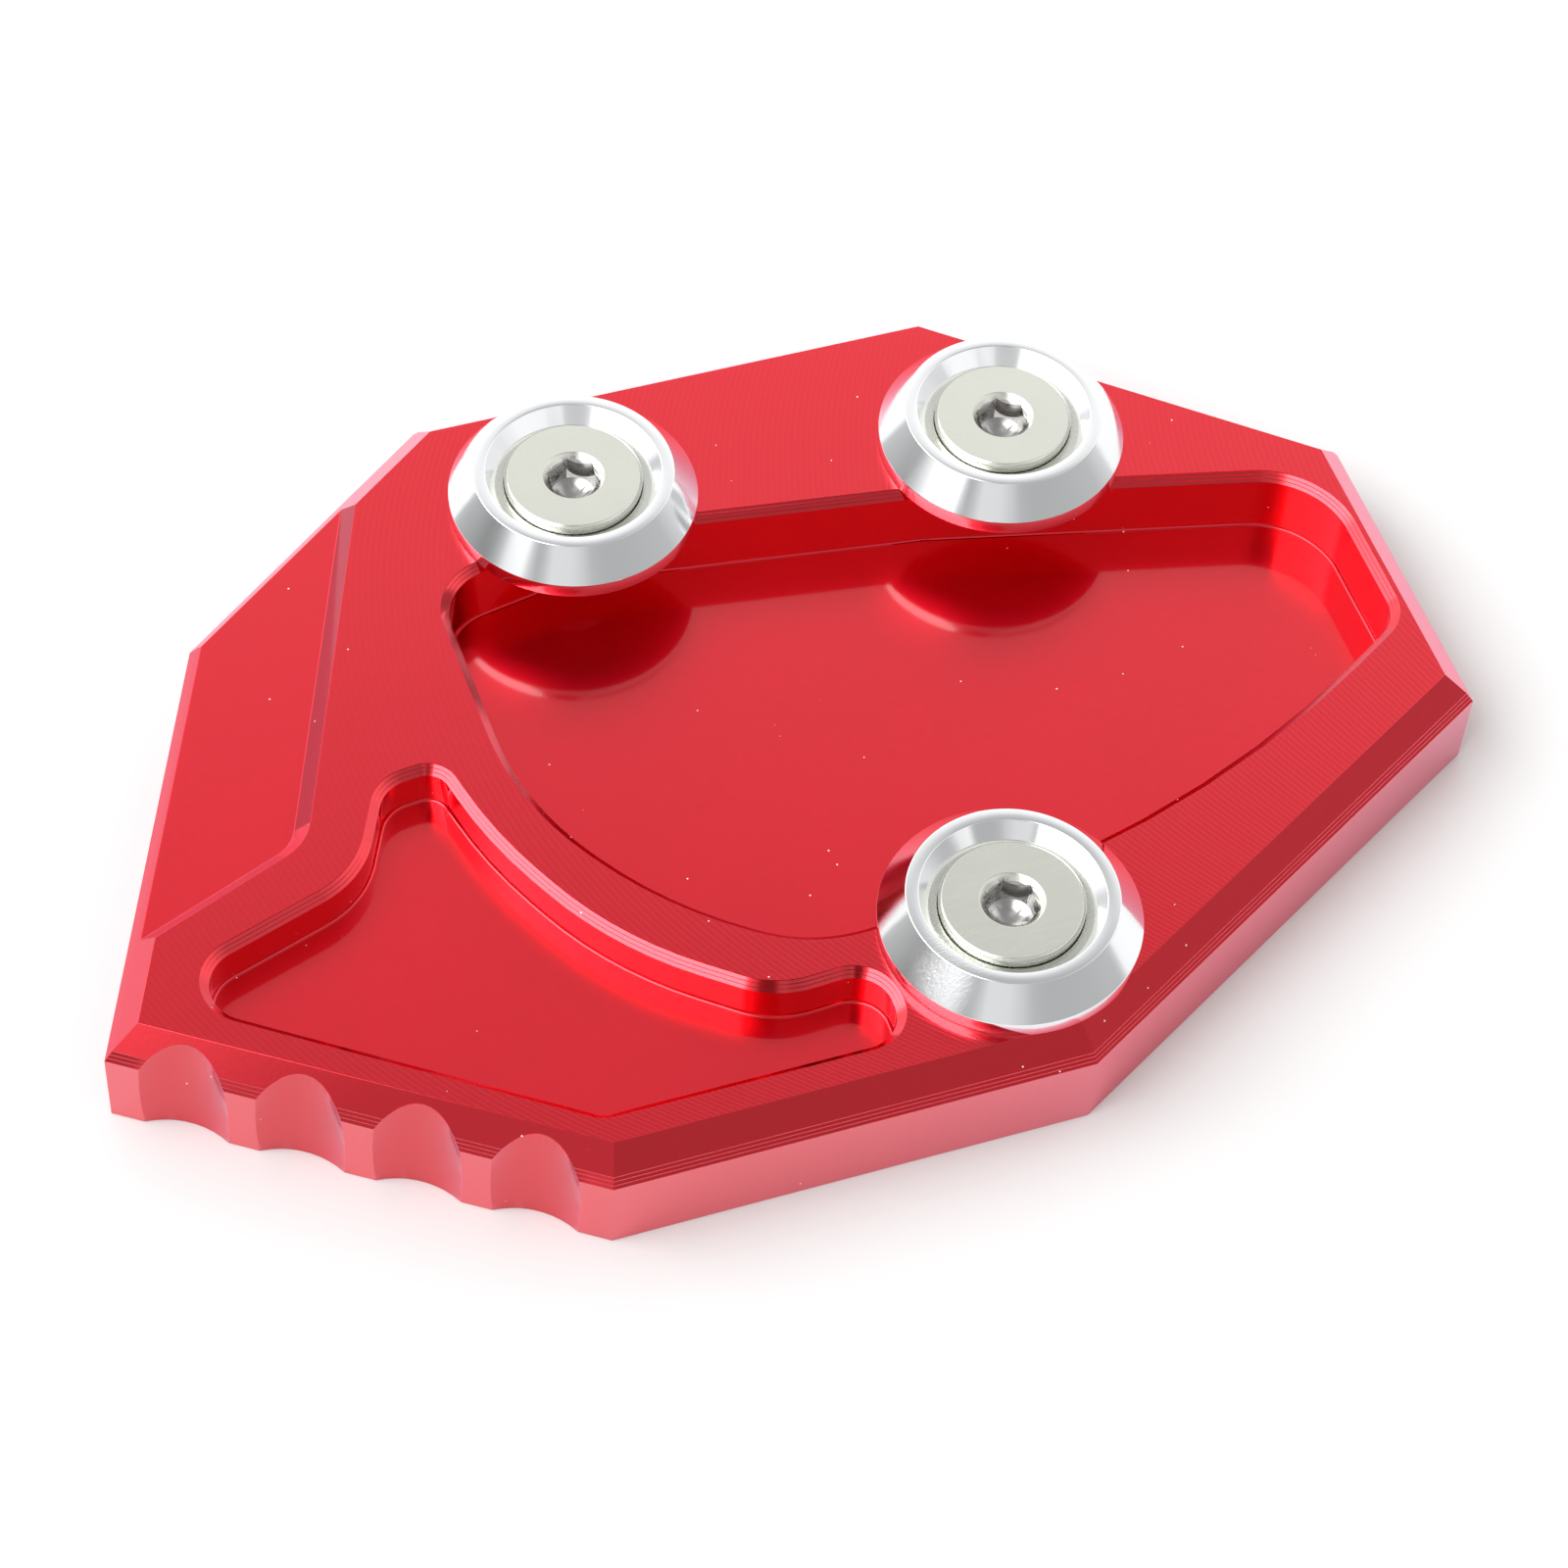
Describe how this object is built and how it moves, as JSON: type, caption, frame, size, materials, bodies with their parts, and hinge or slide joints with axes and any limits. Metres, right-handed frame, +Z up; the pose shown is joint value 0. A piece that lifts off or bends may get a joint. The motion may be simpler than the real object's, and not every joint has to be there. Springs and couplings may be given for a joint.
{
  "type": "kickstand foot enlarger",
  "caption": "Wide machined plate with a deep pocket for a side stand's foot, cone washers and countersunk screws that clamp it, and a scalloped edge.",
  "frame": {"origin": "middle of the part's box, on the underside of the plate", "axes": "+Z up from the ground through the plate's thickness, +X along the plate's length towards the narrow right end, +Y towards the edge with two washers"},
  "size_m": [0.12, 0.0804, 0.0143],
  "materials": {
    "red_anodised": "red anodised machined aluminium, fine face mill marks on top",
    "polished_aluminium": "turned and polished, clear anodised",
    "satin_nickel": "satin nickel plated steel"
  },
  "bodies": {
    "root": {"plate": "red_anodised", "washer_left": "polished_aluminium", "washer_back": "polished_aluminium", "washer_front": "polished_aluminium", "screw_left": "satin_nickel", "screw_back": "satin_nickel", "screw_front": "satin_nickel"}
  },
  "joints": []
}
